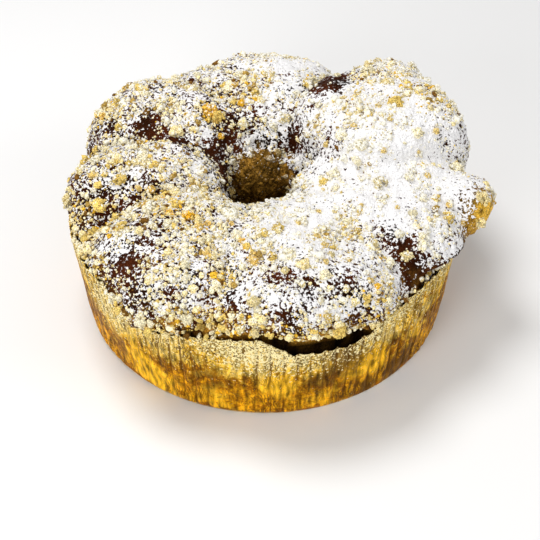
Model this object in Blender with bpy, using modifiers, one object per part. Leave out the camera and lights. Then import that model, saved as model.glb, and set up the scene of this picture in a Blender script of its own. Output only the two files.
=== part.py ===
"""Round babka: a twisted yeast ring with streusel on top, baked in a pleated paper case.

Metres, +Z up. The origin is the centre of the case's flat base, the front is -Y.
"""

import bmesh
import bpy
import math
import random
from collections import namedtuple

import numpy as np

MM = 0.001

# The paper case
BASE_RADIUS = 105 * MM
CASE_FLARE = 0.1
PAPER = 0.8 * MM
PLEATS = 96
PLEAT_DEPTH = 1.4 * MM

# The edge of the case and the underside of the dough's lip above it, round the loaf:
# azimuth in degrees (0 at +X, -90 in front), then both heights in mm
EDGES = (
    (-180, 60, 62), (-160, 64, 66), (-138, 65, 67), (-126, 50, 53), (-108, 60, 62), (-91, 64, 66),
    (-82, 50, 62), (-66, 49, 60), (-60, 53, 57), (-52, 62, 64), (-40, 67, 69), (-15, 58, 60),
    (20, 62, 64), (60, 56, 58), (100, 62, 64), (145, 57, 59), (180, 60, 62))

# The ring of dough
GAP = 0.3 * MM
CORE_RADIUS = 67 * MM
CORE_HEIGHT = 44 * MM
RING = {"across": 43 * MM, "up": 37 * MM, "height": 37 * MM, "squareness": 4.5}
CREASE_BLEND = 3 * MM

# The hole: its middle, its radius low down, and how far its far side opens at the top
HOLE_X = -6 * MM
HOLE_Y = 2 * MM
HOLE_RADIUS = 16 * MM
FUNNEL_START = 38 * MM
FUNNEL_END = 92 * MM
FUNNEL_FAR = 28 * MM
FUNNEL_NEAR = 2 * MM
FUNNEL_CURVE = 2
FAR_SHARPNESS = 1.4
HOLE_BLEND = 6 * MM

# The lobes where the twist comes to the top. Azimuth and turn are in degrees, the rest in mm:
# ring radius, height, and half sizes along the ring, across it and up. A squareness of 2 is round.
Lobe = namedtuple("Lobe", "name azimuth radius height along across up squareness turn")
LOBES = (
    Lobe("left_back", 139, 75, 53, 44, 48, 45, 2.6, 14),
    Lobe("left", 178, 67, 51, 34, 50, 45, 2.3, 15),
    Lobe("front_left", -130, 68, 49, 50, 50, 43, 2.6, 14),
    Lobe("front", -77, 64, 48, 55, 53, 42, 3.0, 8),
    Lobe("front_right", -25, 68, 48, 42, 52, 43, 2.8, 14),
    Lobe("right", -4, 66, 50, 36, 52, 43, 2.9, 10),
    Lobe("right_back", 31, 76, 60, 45, 45, 50, 3.8, 0),
    Lobe("back", 88, 77, 52, 50, 42, 46, 2.8, -8),
    Lobe("back_left", 114, 76, 52, 34, 42, 42, 2.6, 0),
    Lobe("knob", -8, 110, 75, 19, 17, 15, 2.2, 0))
HOLE_KNOB = Lobe("hole_knob", 98, 36, 55, 19, 19, 18, 2.2, 0)

# Low swellings of the crust between the lobes
LUMP_HEIGHT = 2.2 * MM
LUMP_WAVES = ((7, 3, 0.4), (11, -4, 2.1), (5, 7, 4.0), (16, 6, 1.2), (13, -9, 5.1))

# The mesh of the ring: columns round it, and rows of each stretch of its section
COLUMNS = 96
ROWS_WALL = 4
ROWS_TOP = 16
ROWS_HOLE = 7
ROWS_BASE = 4
RAY_STEP = 0.5 * MM
RAY_LONGEST = 92 * MM
LEVEL = 1e-6
LIP_TURN = math.radians(3)
HOLE_TURN = math.radians(128)

# Streusel: number, radius of the largest and smallest crumb, and how deep each is sunk
CRUMBS = 128
CRUMB_LARGE = 5.0 * MM
CRUMB_SMALL = 2.2 * MM
CRUMB_SHRINK = 0.6
CRUMB_SINK = 0.15
CRUMB_INNERMOST = math.radians(122)
CRUMB_SPACING = 1.25
CRUMB_HEADROOM = 1.3
CRUMB_STRETCH = (0.8, 1.2)
CRUMB_ROUGHNESS = (0.82, 1.12)
CRUMB_TRIES = 1500
CRUMB_SEED = 11

LOAF_COLOUR = (0.80, 0.70, 0.50, 1)
LOAF_ROUGHNESS = 0.85
PAPER_COLOUR = (0.62, 0.36, 0.06, 1)
PAPER_ROUGHNESS = 0.5


def clear_scene():
    for item in list(bpy.data.objects):
        bpy.data.objects.remove(item, do_unlink=True)


def new_collection(name):
    group = bpy.data.collections.new(name)
    bpy.context.scene.collection.children.link(group)
    return group


def move_to(item, group):
    for old in list(item.users_collection):
        old.objects.unlink(item)
    group.objects.link(item)


def material(name, colour, roughness):
    made = bpy.data.materials.new(name)
    made.use_nodes = True
    shader = made.node_tree.nodes["Principled BSDF"]
    shader.inputs["Base Color"].default_value = colour
    shader.inputs["Roughness"].default_value = roughness
    shader.inputs["Metallic"].default_value = 0.0
    return made


def edge_heights(azimuth):
    """Heights of the paper's edge and of the lip above it, at an azimuth in radians."""
    places, rims, lips = zip(*EDGES)
    degrees = np.degrees(azimuth)
    return np.interp(degrees, places, rims) * MM, np.interp(degrees, places, lips) * MM


def case_radius(height):
    """Middle radius of the pleated wall."""
    return BASE_RADIUS - PLEAT_DEPTH / 2 + CASE_FLARE * height


def wall_radius(height):
    """The largest radius that the dough has inside the case."""
    return case_radius(height) - PLEAT_DEPTH / 2 - PAPER - GAP


def blend(first, second, width):
    """The smaller of two distances, with a rounded crease of the given width."""
    near = np.maximum(width - np.abs(first - second), 0) / width
    return np.minimum(first, second) - near * near * width / 4


def lobe_distance(points, lobe):
    """Distance, near enough, to a lobe's surface: below zero inside it."""
    place = math.radians(lobe.azimuth)
    yaw = place + math.radians(lobe.turn)
    x = points[..., 0] / MM - lobe.radius * math.cos(place)
    y = points[..., 1] / MM - lobe.radius * math.sin(place)
    across = np.abs(x * math.cos(yaw) + y * math.sin(yaw)) / lobe.across
    along = np.abs(y * math.cos(yaw) - x * math.sin(yaw)) / lobe.along
    up = np.abs(points[..., 2] / MM - lobe.height) / lobe.up
    power = lobe.squareness
    size = (across ** power + along ** power + up ** power) ** (1 / power)
    return (size - 1) * min(lobe.along, lobe.across, lobe.up) * MM


def ring_distance(points):
    """Distance to the plain ring of dough under the lobes."""
    across = np.abs(np.hypot(points[..., 0], points[..., 1]) - CORE_RADIUS) / RING["across"]
    up = np.abs(points[..., 2] - RING["height"]) / RING["up"]
    power = RING["squareness"]
    return ((across ** power + up ** power) ** (1 / power) - 1) * RING["up"]


def hole_distance(points):
    """How far a point is inside the hole, whose far side opens out towards the top."""
    x = points[..., 0] - HOLE_X
    y = points[..., 1] - HOLE_Y
    reach = np.hypot(x, y)
    far = np.clip(y / np.maximum(reach, MM), 0, 1) ** FAR_SHARPNESS
    rise = np.clip((points[..., 2] - FUNNEL_START) / (FUNNEL_END - FUNNEL_START), 0, 1)
    widening = FUNNEL_NEAR + (FUNNEL_FAR - FUNNEL_NEAR) * far
    return HOLE_RADIUS + widening * rise ** FUNNEL_CURVE - reach


def dough_distance(points):
    """Distance to the risen dough: the ring and its lobes, less the hole."""
    result = ring_distance(points)
    for lobe in LOBES:
        result = blend(result, lobe_distance(points, lobe), CREASE_BLEND)
    result = -blend(-result, -hole_distance(points), HOLE_BLEND)
    return blend(result, lobe_distance(points, HOLE_KNOB), CREASE_BLEND)


def ray(azimuth, turn):
    """Start and direction of a ray from the ring's core, turned up from the outward side."""
    outward = np.stack([np.cos(azimuth), np.sin(azimuth), 0 * azimuth], -1)
    up = np.array([0.0, 0.0, 1.0])
    start = CORE_RADIUS * outward + CORE_HEIGHT * up
    return start, np.cos(turn)[..., None] * outward + np.sin(turn)[..., None] * up


def dough_reach(azimuth, turn):
    """Distance along each ray from the core to the dough's outermost surface."""
    start, direction = ray(azimuth, turn)
    reach = np.full(azimuth.shape, RAY_STEP)
    before = dough_distance(start)
    for step in np.arange(RAY_STEP, RAY_LONGEST, RAY_STEP):
        here = dough_distance(start + direction * step)
        leaves = (before < 0) & (here >= 0)
        part = before / np.where(leaves, before - here, 1)
        reach = np.where(leaves, step - RAY_STEP + RAY_STEP * part, reach)
        before = here
    return reach


def lumps(azimuth, turn):
    """Low swellings of the crust, -1 to 1, the same on every run."""
    total = 0
    for round_waves, section_waves, phase in LUMP_WAVES:
        total = total + np.sin(round_waves * azimuth + section_waves * turn + phase)
    return total / len(LUMP_WAVES)


def corner_turns(azimuth):
    """Turns of the section's corners: outer foot, under the lip, and inner foot a full turn on."""
    floor = PAPER + GAP
    _, lip = edge_heights(azimuth)
    outer = np.full(azimuth.shape, math.atan2(floor - CORE_HEIGHT, wall_radius(floor) - CORE_RADIUS))
    under_lip = np.arctan2(lip - CORE_HEIGHT, wall_radius(lip) - CORE_RADIUS)
    hole_edge = HOLE_X * np.cos(azimuth) + HOLE_Y * np.sin(azimuth) + HOLE_RADIUS + MM
    inner = np.arctan2(floor - CORE_HEIGHT, hole_edge - CORE_RADIUS) + 2 * math.pi
    return outer, under_lip, inner


def section_turn(azimuth, share):
    """Turn of a ray for a share of the way round the section, with rows set close at the lip."""
    outer, under_lip, inner = corner_turns(azimuth)
    rows = (ROWS_WALL, ROWS_TOP, ROWS_HOLE, ROWS_BASE)
    knots = np.cumsum((0,) + rows)
    place = share * knots[-1]
    lip = under_lip + LIP_TURN
    turn = outer + (under_lip - outer) * place / ROWS_WALL
    top = lip + (HOLE_TURN - lip) * (place - knots[1] - 1) / (ROWS_TOP - 1)
    hole = HOLE_TURN + (inner - HOLE_TURN) * (place - knots[2]) / ROWS_HOLE
    base = inner + (outer + 2 * math.pi - inner) * (place - knots[3]) / ROWS_BASE
    turn = np.where(place > knots[1] + 0.5, top, turn)
    turn = np.where(place > knots[2] + 0.5, hole, turn)
    return np.where(place > knots[3] + 0.5, base, turn)


def loaf_points(azimuth, turn):
    """Points of the loaf's skin: flat on the floor, against the case, or free above its edge."""
    start, direction = ray(azimuth, turn)
    outer, under_lip, _ = corner_turns(azimuth)
    free = dough_reach(azimuth, turn) + LUMP_HEIGHT * lumps(azimuth, turn)
    floor = (PAPER + GAP - CORE_HEIGHT) / np.minimum(direction[..., 2], -LEVEL)
    floor = np.where(direction[..., 2] < -LEVEL, floor, RAY_LONGEST)
    approach = np.maximum(np.cos(turn) - CASE_FLARE * np.sin(turn), LEVEL)
    side = (wall_radius(CORE_HEIGHT) - CORE_RADIUS) / approach
    in_case = (turn >= outer - LEVEL) & (turn <= under_lip + LEVEL)
    reach = np.where(in_case, side, np.minimum(free, floor))
    return start + direction * reach[..., None]


def make_loaf(group):
    """The ring, from a torus whose columns and rows are moved onto the dough's surface."""
    rows = ROWS_WALL + ROWS_TOP + ROWS_HOLE + ROWS_BASE
    bpy.ops.mesh.primitive_torus_add(major_segments=COLUMNS, minor_segments=rows,
                                     major_radius=CORE_RADIUS, minor_radius=CORE_RADIUS / 3)
    loaf = bpy.context.object
    loaf.name = "babka"
    move_to(loaf, group)
    places = np.array([vertex.co[:] for vertex in loaf.data.vertices])
    azimuth = np.arctan2(places[:, 1], places[:, 0])
    section = np.arctan2(places[:, 2], np.hypot(places[:, 0], places[:, 1]) - CORE_RADIUS)
    share = np.mod(np.round(section / (2 * math.pi) * rows), rows) / rows
    points = loaf_points(azimuth, section_turn(azimuth, share))
    for vertex, point in zip(loaf.data.vertices, points):
        vertex.co = point
    loaf.data.update()
    return loaf


def crumb_places(draw):
    """Streusel crumbs, the largest first, spread over the top with space between them."""
    azimuth = np.array([draw.uniform(-math.pi, math.pi) for _ in range(CRUMB_TRIES)])
    share = np.array([draw.uniform(0, 1) for _ in range(CRUMB_TRIES)])
    lowest = corner_turns(azimuth)[1] + LIP_TURN
    turn = lowest + (CRUMB_INNERMOST - lowest) * share
    centres = loaf_points(azimuth, turn)
    outward = ray(azimuth, turn)[1]
    headroom = centres[:, 2] - edge_heights(azimuth)[1]
    placed = []
    for number in range(CRUMBS):
        radius = CRUMB_LARGE + (CRUMB_SMALL - CRUMB_LARGE) * (number / CRUMBS) ** CRUMB_SHRINK
        for place in range(CRUMB_TRIES):
            apart = all(np.linalg.norm(centres[place] - centres[other]) > CRUMB_SPACING * (radius + size)
                        for other, size in placed)
            if apart and headroom[place] > CRUMB_HEADROOM * radius:
                placed.append((place, radius))
                break
    return [(centres[place], radius, outward[place]) for place, radius in placed]


def make_crumbs(group):
    """Rough lumps of streusel, each a jittered ball half sunk into the crust."""
    draw = random.Random(CRUMB_SEED)
    for centre, radius, outward in crumb_places(draw):
        ball = bmesh.new()
        bmesh.ops.create_icosphere(ball, subdivisions=1, radius=radius)
        stretch = [draw.uniform(*CRUMB_STRETCH) for _ in range(3)]
        middle = centre - outward * radius * CRUMB_SINK
        for vertex in ball.verts:
            rough = draw.uniform(*CRUMB_ROUGHNESS)
            vertex.co = [middle[axis] + vertex.co[axis] * stretch[axis] * rough for axis in range(3)]
        mesh = bpy.data.meshes.new("crumb")
        ball.to_mesh(mesh)
        ball.free()
        group.objects.link(bpy.data.objects.new("crumb", mesh))


def join_crumbs(loaf, group):
    """Fuses all crumbs to the loaf in one union, then removes them."""
    union = loaf.modifiers.new("Streusel", "BOOLEAN")
    union.operation = "UNION"
    union.operand_type = "COLLECTION"
    union.collection = group
    union.solver = "EXACT"
    bpy.context.view_layer.objects.active = loaf
    bpy.ops.object.modifier_apply(modifier=union.name)
    for crumb in list(group.objects):
        bpy.data.objects.remove(crumb, do_unlink=True)
    bpy.data.collections.remove(group)


def make_case(group):
    """The pleated paper case: a zigzag wall with an uneven edge, and a flat floor."""
    bpy.ops.mesh.primitive_cone_add(vertices=2 * PLEATS, radius1=BASE_RADIUS, radius2=BASE_RADIUS, depth=1)
    case = bpy.context.object
    case.name = "paper_case"
    move_to(case, group)
    shell = bmesh.new()
    shell.from_mesh(case.data)
    lid = [face for face in shell.faces if face.calc_center_median().z > LEVEL]
    bmesh.ops.delete(shell, geom=lid, context="FACES_ONLY")
    for vertex in shell.verts:
        azimuth = math.atan2(vertex.co.y, vertex.co.x)
        level = vertex.co.z + 0.5
        column = round(azimuth / math.pi * PLEATS)
        fold = PLEAT_DEPTH / 2 if column % 2 else -PLEAT_DEPTH / 2
        height = level * float(edge_heights(azimuth)[0])
        radius = case_radius(height) + fold
        vertex.co = (radius * math.cos(azimuth), radius * math.sin(azimuth), height)
    shell.to_mesh(case.data)
    shell.free()
    wall = case.modifiers.new("Paper", "SOLIDIFY")
    wall.thickness = PAPER
    wall.offset = -1
    return case


def main():
    clear_scene()
    parts = new_collection("Round_Babka")
    crumbs = new_collection("Streusel")
    loaf = make_loaf(parts)
    make_crumbs(crumbs)
    join_crumbs(loaf, crumbs)
    loaf.data.materials.clear()
    loaf.data.materials.append(material("babka", LOAF_COLOUR, LOAF_ROUGHNESS))
    loaf.data.shade_smooth()
    case = make_case(parts)
    case.data.materials.append(material("paper_case", PAPER_COLOUR, PAPER_ROUGHNESS))


main()
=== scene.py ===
import bmesh
import bpy
import math
import random
from collections import namedtuple

import numpy as np
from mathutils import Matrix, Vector, noise


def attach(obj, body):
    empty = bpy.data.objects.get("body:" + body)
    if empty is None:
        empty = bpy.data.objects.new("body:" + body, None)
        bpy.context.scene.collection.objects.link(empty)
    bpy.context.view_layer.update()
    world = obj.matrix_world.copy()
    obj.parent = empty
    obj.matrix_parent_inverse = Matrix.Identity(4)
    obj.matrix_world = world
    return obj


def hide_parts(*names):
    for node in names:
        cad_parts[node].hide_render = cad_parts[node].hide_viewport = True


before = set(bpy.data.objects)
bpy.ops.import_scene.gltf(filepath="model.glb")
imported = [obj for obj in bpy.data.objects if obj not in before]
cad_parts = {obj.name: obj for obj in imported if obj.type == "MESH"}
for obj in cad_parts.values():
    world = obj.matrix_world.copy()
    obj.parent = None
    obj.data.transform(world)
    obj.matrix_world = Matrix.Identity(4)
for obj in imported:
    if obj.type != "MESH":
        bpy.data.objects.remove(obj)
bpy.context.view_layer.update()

MM = 0.001

# The paper case and the ring of dough, as in the solids
BASE_RADIUS = 105 * MM
CASE_FLARE = 0.1
PLEATS = 96
PLEAT_DEPTH = 1.4 * MM
FLOOR = 1.1 * MM
WALL_INSET = 2.2 * MM
EDGES = (
    (-180, 60, 62), (-160, 64, 66), (-138, 65, 67), (-126, 50, 53), (-108, 60, 62), (-91, 64, 66),
    (-82, 50, 62), (-66, 49, 60), (-60, 53, 57), (-52, 62, 64), (-40, 67, 69), (-15, 58, 60),
    (20, 62, 64), (60, 56, 58), (100, 62, 64), (145, 57, 59), (180, 60, 62))
CORE_RADIUS = 67 * MM
CORE_HEIGHT = 44 * MM
RING = {"across": 43 * MM, "up": 37 * MM, "height": 37 * MM, "squareness": 4.5}
CREASE_BLEND = 3 * MM
HOLE_X = -6 * MM
HOLE_Y = 2 * MM
HOLE_RADIUS = 16 * MM
FUNNEL_START = 38 * MM
FUNNEL_END = 92 * MM
FUNNEL_FAR = 28 * MM
FUNNEL_NEAR = 2 * MM
FUNNEL_CURVE = 2
FAR_SHARPNESS = 1.4
HOLE_BLEND = 6 * MM
Lobe = namedtuple("Lobe", "azimuth radius height along across up squareness turn")
LOBES = (
    Lobe(139, 75, 53, 44, 48, 45, 2.6, 14),
    Lobe(178, 67, 51, 34, 50, 45, 2.3, 15),
    Lobe(-130, 68, 49, 50, 50, 43, 2.6, 14),
    Lobe(-77, 64, 48, 55, 53, 42, 3.0, 8),
    Lobe(-25, 68, 48, 42, 52, 43, 2.8, 14),
    Lobe(-4, 66, 50, 36, 52, 43, 2.9, 10),
    Lobe(31, 76, 60, 45, 45, 50, 3.8, 0),
    Lobe(88, 77, 52, 50, 42, 46, 2.8, -8),
    Lobe(114, 76, 52, 34, 42, 42, 2.6, 0))
KNOB = Lobe(-8, 110, 75, 19, 17, 15, 2.2, 0)
HOLE_KNOB = Lobe(98, 36, 55, 19, 19, 18, 2.2, 0)
LUMP_HEIGHT = 2.2 * MM
LUMP_WAVES = ((7, 3, 0.4), (11, -4, 2.1), (5, 7, 4.0), (16, 6, 1.2), (13, -9, 5.1))
RAY_STEP = 0.5 * MM
RAY_LONGEST = 92 * MM
LIP_TURN = math.radians(3)

# The fine mesh of the ring
COLUMNS = 640
COARSE_COLUMNS = 176
ROWS_WALL = 12
ROWS_FREE = 140
COARSE_ROWS = 76
ROWS_BASE = 4
GROOVE = 3.5 * MM
GROOVE_ELSEWHERE = 1.5 * MM
# Painted shade in the groove under the lip: how far it darkens the crust, and its share away from the open
# gap in front
GROOVE_SHADE = 0.95
GROOVE_SHADE_ELSEWHERE = 0.15
UNDER_LIP = 1.0 * MM
# How tall the open gap in front is, over what height its painted shade fades, and the crumbs that hang above
# it
GAP_OPEN = 7 * MM
GAP_DARKENS = 4 * MM
GAP_CRUMBS = 420
# Valleys between the lobes: depth, width, and how far they show from the left side, where they also carry
# painted shade as thinner sugar
CREASE_DEPTH = 1.2 * MM
CREASE_WIDTH = 2.5 * MM
CREASES_WITHIN = math.radians(60)
# The deep one at the back, in degrees
BACK_CREASE = 57
BACK_CREASE_WITHIN = 12
BACK_CREASE_DEEPER = 2.2
# Icing sugar: the least on a bare patch of crust, the most that counts, and what more lies on raised crust
SUGAR_LEAST = 0.05
SUGAR_MOST = 1.2
RAISED_SUGAR = 0.10
# Where the right side starts, in mm, and over what width
RIGHT_FROM = -5
RIGHT_FADE = 13
# The hollow round the hole: its radius and the heights in mm where sugar and crumbs thin out, and how far
HOLLOW_WIDE = 72
HOLLOW_TOP = 72
HOLLOW_FADE = 25
HOLLOW_FLOOR = 46
HOLLOW_RISE = 22
HOLLOW_LEAST = 0.15
# How far the torn bread and an overhanging side keep sugar and crumbs off
BREAD_BARE = 1.8
SIDE_TURN = 0.25
OVERHANG = 0.85
OVERHANG_FADE = 1.8
# The front's band of golden crumbs: its height above the lip, its ends in degrees, and how golden it is
BAND = 15 * MM
BAND_FROM = -136
BAND_TO = -50
BAND_FADE = 16
BAND_GOLDEN = 1.1
# Grains on each clump, and how much less sugar the clumps of the right side carry than the small crumbs there
CLUMP_GRAINS = 28
CLUMP_BARE = 0.25
# Loose streusel: name, number, smallest and largest radius in mm, fineness, and how evenly it lies
LOOSE = (
    ("streusel_lumps", 950, 1.2, 2.3, 2, 0.0), ("streusel_crumbs", 1700, 0.8, 1.35, 2, 0.1),
    ("streusel_grains", 9600, 0.45, 0.85, 1, 0.25))
# How far the crumbs lie in drifts: size of the drifts and their strength
DRIFT = 13 * MM
DRIFT_STRENGTH = 1.5
# The least and the most that crumbs crowd
CROWD_LIMITS = 0.04, 2
# Crumbs caught between the paper's edge and the dough, away from the open gap in front
EDGE_CRUMBS = 620
# The open gap in front: its two ends in degrees, and over how far each closes
GAP_FROM = -101
GAP_TO = -56
GAP_FADE_LEFT = 14
GAP_FADE_RIGHT = 4
# Relief of the crust: size of the bumps and how far they stand
RELIEF = ((7.0 * MM, 1.1 * MM), (3.0 * MM, 0.7 * MM), (1.5 * MM, 0.35 * MM))

# Places on the top in mm, with a radius and an amount
Spot = namedtuple("Spot", "x y z radius amount")


def spot_list(*rows):
    return [Spot(*row) for row in rows]


# Where the dark crust shows through thin powder
DARK = spot_list(
    (-60, 34, 96, 9, 1), (-67, 28, 95, 7, 0.9), (-51, 22, 94, 8, 0.9), (-89, 36, 89, 8, 0.7),
    (-102, 35, 71, 9, 0.8), (-103, -9, 82, 9, 0.5), (-98, -20, 81, 6, 0.6), (-87, -27, 78, 7, 0.7),
    (-72, -38, 86, 6, 0.7), (-91, -49, 73, 7, 0.8), (-72, -76, 84, 8, 1.5), (-66, -91, 74, 7, 0.9),
    (-20, 36, 84, 11, 1), (-29, 21, 84, 9, 0.8), (18, 33, 83, 8, 0.9), (37, 49, 106, 10, 1.9),
    (38, 10, 98, 7, 0.6), (49, 11, 107, 4, 0.8), (95, 14, 101, 5, 0.7), (10, -88, 88, 9, 1),
    (24, -95, 85, 8, 0.9), (41, -92, 83, 7, 0.8), (64, -56, 86, 7, 1), (74, -63, 83, 7, 2),
    (79, -71, 71, 8, 1.8), (46, -84, 84, 9, 0.4), (-24, 14, 74, 8, 0.7), (-58, -62, 90, 8, 0.6),
    (-14, -101, 78, 6, 0.8), (8, -109, 79, 6, 0.7), (-81, -82, 73, 5, 1), (92, -65, 70, 6, 0.7),
    (-105, 10, 76, 11, 0.6), (30, 50, 108, 8, 1.2), (35, 68, 101, 9, 1.5), (43, 62, 105, 7, 1.4))
# Where yellow and golden crumbs lie thick
GOLDEN = spot_list(
    (-32, 41, 94, 7, 1.5), (-14, 54, 93, 8, 1), (-21, 68, 96, 8, 0.9), (-3, 69, 98, 9, 0.9),
    (-96, -9, 88, 5, 0.5), (-94, 49, 88, 9, 1), (-63, -25, 88, 8, 0.7), (-50, -45, 92, 8, 1),
    (-37, -50, 91, 8, 1.1), (-36, -12, 83, 6, 0.8), (-52, -26, 89, 6, 0.9), (-22, -87, 82, 8, 0.9),
    (-30, -71, 89, 7, 0.8), (-5, -76, 89, 6, 0.8), (-93, -34, 71, 12, 1), (-88, -70, 76, 9, 0.8),
    (31, 76, 94, 8, 1), (55, 61, 109, 9, 1.2), (75, 54, 109, 10, 1.2), (93, 42, 108, 9, 1.1),
    (48, 26, 107, 15, 0.6), (84, 36, 108, 22, 0.35), (119, -30, 82, 11, 1.5), (47, -52, 91, 9, 0.9),
    (31, -63, 89, 8, 0.8), (53, -95, 74, 14, 0.8), (68, -86, 76, 9, 0.8), (8, -113, 75, 12, 0.7),
    (-25, -105, 67, 12, 0.8), (-65, 22, 92, 5, 0.4), (-89, 10, 91, 5, 0.4), (-108, -20, 68, 10, 0.9))
# Where icing sugar lies thick
WHITE = spot_list(
    (75, 0, 96, 34, 0.5), (70, 35, 108, 28, 0.35), (20, -42, 92, 26, 0.45), (-53, 32, 96, 5, 0.8),
    (-2, 60, 97, 5, 0.7), (-33, 29, 92, 5, 0.8), (-43, -21, 87, 6, 0.7), (-36, -2, 88, 6, 0.5),
    (-9, 38, 74, 6, 0.8), (17, 26, 69, 5, 0.7), (38, 37, 108, 7, 0.6), (67, -80, 76, 6, 0.6),
    (8, 88, 96, 18, 0.3))
# Where the crust is baked golden and neither sugar nor crumbs lie
BAKED = spot_list((124, -30, 77, 13, 1.6))
# Clumps that stand out: radius in mm, and an amount from 0 for yellow to 1 for deep gold
CLUMPS_RIGHT = spot_list(
    (12, 21, 53, 2.2, 0.3), (27, -60, 90, 2, 0.3), (31, -69, 89, 2.4, 0.4), (31, -79, 89, 1.8, 0.2),
    (40, -43, 89, 1.8, 0.2), (42, -51, 88, 1.6, 0.2), (29, -39, 89, 1.6, 0.2), (49, 12, 107, 2, 0.3),
    (64, 27, 110, 2, 0.2), (69, 15, 109, 1.8, 0.2), (95, 14, 102, 2.2, 0.2), (65, -3, 101, 2, 0.3),
    (85, 3, 96, 1.6, 0.2), (104, 34, 105, 2, 0.3), (89, -11, 91, 2.2, 0.3), (71, -38, 90, 1.6, 0.2),
    (52, -37, 90, 2, 0.3), (100, -30, 84, 2, 0.5), (99, -39, 83, 1.6, 0.5), (107, -34, 78, 2, 0.6),
    (35, 10, 96, 2.2, 0.3), (30, 28, 103, 2, 0.3), (29, 23, 99, 1.8, 0.3), (108, 12, 81, 2, 0.3),
    (54, -86, 82, 2, 0.3), (44, -76, 87, 2, 0.3), (18, -47, 90, 2, 0.3), (46, -57, 87, 1.8, 0.3))
CLUMPS_LEFT = spot_list(
    (-32, 43, 95, 4.4, 0.9), (-14, 53, 93, 2.6, 1), (-95, 49, 88, 3, 0.7), (-95, -10, 89, 2.6, 0.5),
    (-83, 72, 90, 2.6, 0.6), (-62, -19, 87, 2.6, 0.7), (-64, -33, 88, 2.8, 0.8), (-41, -46, 92, 3.4, 1),
    (-50, -45, 92, 2.6, 0.8), (-30, -51, 91, 2.4, 0.6), (-34, -56, 92, 2.8, 0.6), (-30, -73, 89, 2.4, 0.5),
    (-5, -79, 88, 3, 0.6), (-18, 67, 96, 3, 0.7), (-26, 31, 86, 2.4, 0.9), (-19, 18, 57, 3.2, 0.4),
    (-33, -10, 81, 2.8, 0.3), (-17, -50, 89, 2, 0.5), (-95, -35, 70, 2.8, 0.6), (-83, -48, 82, 2.6, 0.5),
    (-69, -19, 89, 2.2, 0.5), (-50, -25, 89, 2.2, 0.5), (-12, -63, 89, 2.2, 0.7), (-6, -74, 89, 2.2, 0.5))
# Marks on the paper: pale and dusty, bright gold that is partly a painted highlight, painted shade, and a
# painted white highlight
PALE = spot_list(
    (-81, -73, 52, 16, 0.8), (-15, -108, 55, 18, 1), (14, -108, 54, 18, 1), (0, -108, 46, 16, 0.6),
    (52, -96, 53, 18, 0.6), (66, -86, 55, 14, 0.6), (-90, -60, 42, 14, 1), (-81, -71, 36, 9, 0.7),
    (83, -68, 34, 12, 0.7))
GOLD_AND_HIGHLIGHT = spot_list(
    (8, -107, 24, 10, 1.3), (59, -89, 27, 10, 1.3), (48, -96, 28, 9, 1.2), (-68, -82, 20, 14, 0.9),
    (-28, -103, 12, 14, 0.6), (30, -103, 12, 9, 0.7), (-58, -88, 8, 12, 0.8), (83, -68, 26, 9, 0.7))
SHADE = spot_list(
    (29, -103, 27, 8, 0.9), (54, -90, 6, 9, 1.1), (72, -77, 8, 9, 1.5), (-29, -103, 27, 12, 0.5),
    (-38, -103, 52, 9, 0.6), (38, -100, 46, 8, 0.8), (44, -97, 34, 12, 0.9), (80, -70, 14, 8, 0.8))
WHITE_HIGHLIGHT = spot_list((-64, -88, 57, 8, 1.3), (-72, -82, 60, 6, 1.2))

# Streusel clumps, as in the solids: number, radii, how deep each is sunk, and where they may lie
CLUMPS = 128
CLUMP_LARGE = 5.0 * MM
CLUMP_SMALL = 2.2 * MM
CLUMP_SHRINK = 0.6
CLUMP_SINK = 0.15
CLUMP_INNERMOST = math.radians(122)
CLUMP_SPACING = 1.25
CLUMP_HEADROOM = 1.3
CLUMP_TRIES = 1500
CLUMP_SEED = 11

SEED = 5

# The bare bread on the face of the knob in the hole and deep inside it, and over how far it changes to crust
BREAD_FACE = np.array([-2, 22, 62]) * MM
BREAD_RADIUS = 19 * MM
BREAD_TOP = 54 * MM
BREAD_REACH = 38 * MM
BREAD_FADE = 5 * MM
# How far its edge wanders in and out, and the size of those bays
BREAD_RAGGED = 5 * MM
BREAD_BAYS = 4 * MM


def new_object(name, mesh):
    made = bpy.data.objects.new(name, mesh)
    bpy.context.scene.collection.objects.link(made)
    return made


def edge_heights(azimuth):
    """Heights of the paper's edge and of the lip above it, at an azimuth in radians."""
    places, rims, lips = zip(*EDGES)
    degrees = np.degrees(azimuth)
    return np.interp(degrees, places, rims) * MM, np.interp(degrees, places, lips) * MM


def case_radius(height):
    return BASE_RADIUS - PLEAT_DEPTH / 2 + CASE_FLARE * height


def wall_radius(height):
    """Radius of the dough inside the case."""
    return case_radius(height) - WALL_INSET


def blend(first, second, width):
    """The smaller of two distances, with a rounded crease of the given width."""
    near = np.maximum(width - np.abs(first - second), 0) / width
    return np.minimum(first, second) - near * near * width / 4


def lobe_distance(points, lobe):
    """Distance, near enough, to a lobe's surface: below zero inside it."""
    place = math.radians(lobe.azimuth)
    yaw = place + math.radians(lobe.turn)
    x = points[..., 0] / MM - lobe.radius * math.cos(place)
    y = points[..., 1] / MM - lobe.radius * math.sin(place)
    across = np.abs(x * math.cos(yaw) + y * math.sin(yaw)) / lobe.across
    along = np.abs(y * math.cos(yaw) - x * math.sin(yaw)) / lobe.along
    up = np.abs(points[..., 2] / MM - lobe.height) / lobe.up
    power = lobe.squareness
    size = (across ** power + along ** power + up ** power) ** (1 / power)
    return (size - 1) * min(lobe.along, lobe.across, lobe.up) * MM


def ring_distance(points):
    """Distance to the plain ring of dough under the lobes."""
    across = np.abs(np.hypot(points[..., 0], points[..., 1]) - CORE_RADIUS) / RING["across"]
    up = np.abs(points[..., 2] - RING["height"]) / RING["up"]
    power = RING["squareness"]
    return ((across ** power + up ** power) ** (1 / power) - 1) * RING["up"]


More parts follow.
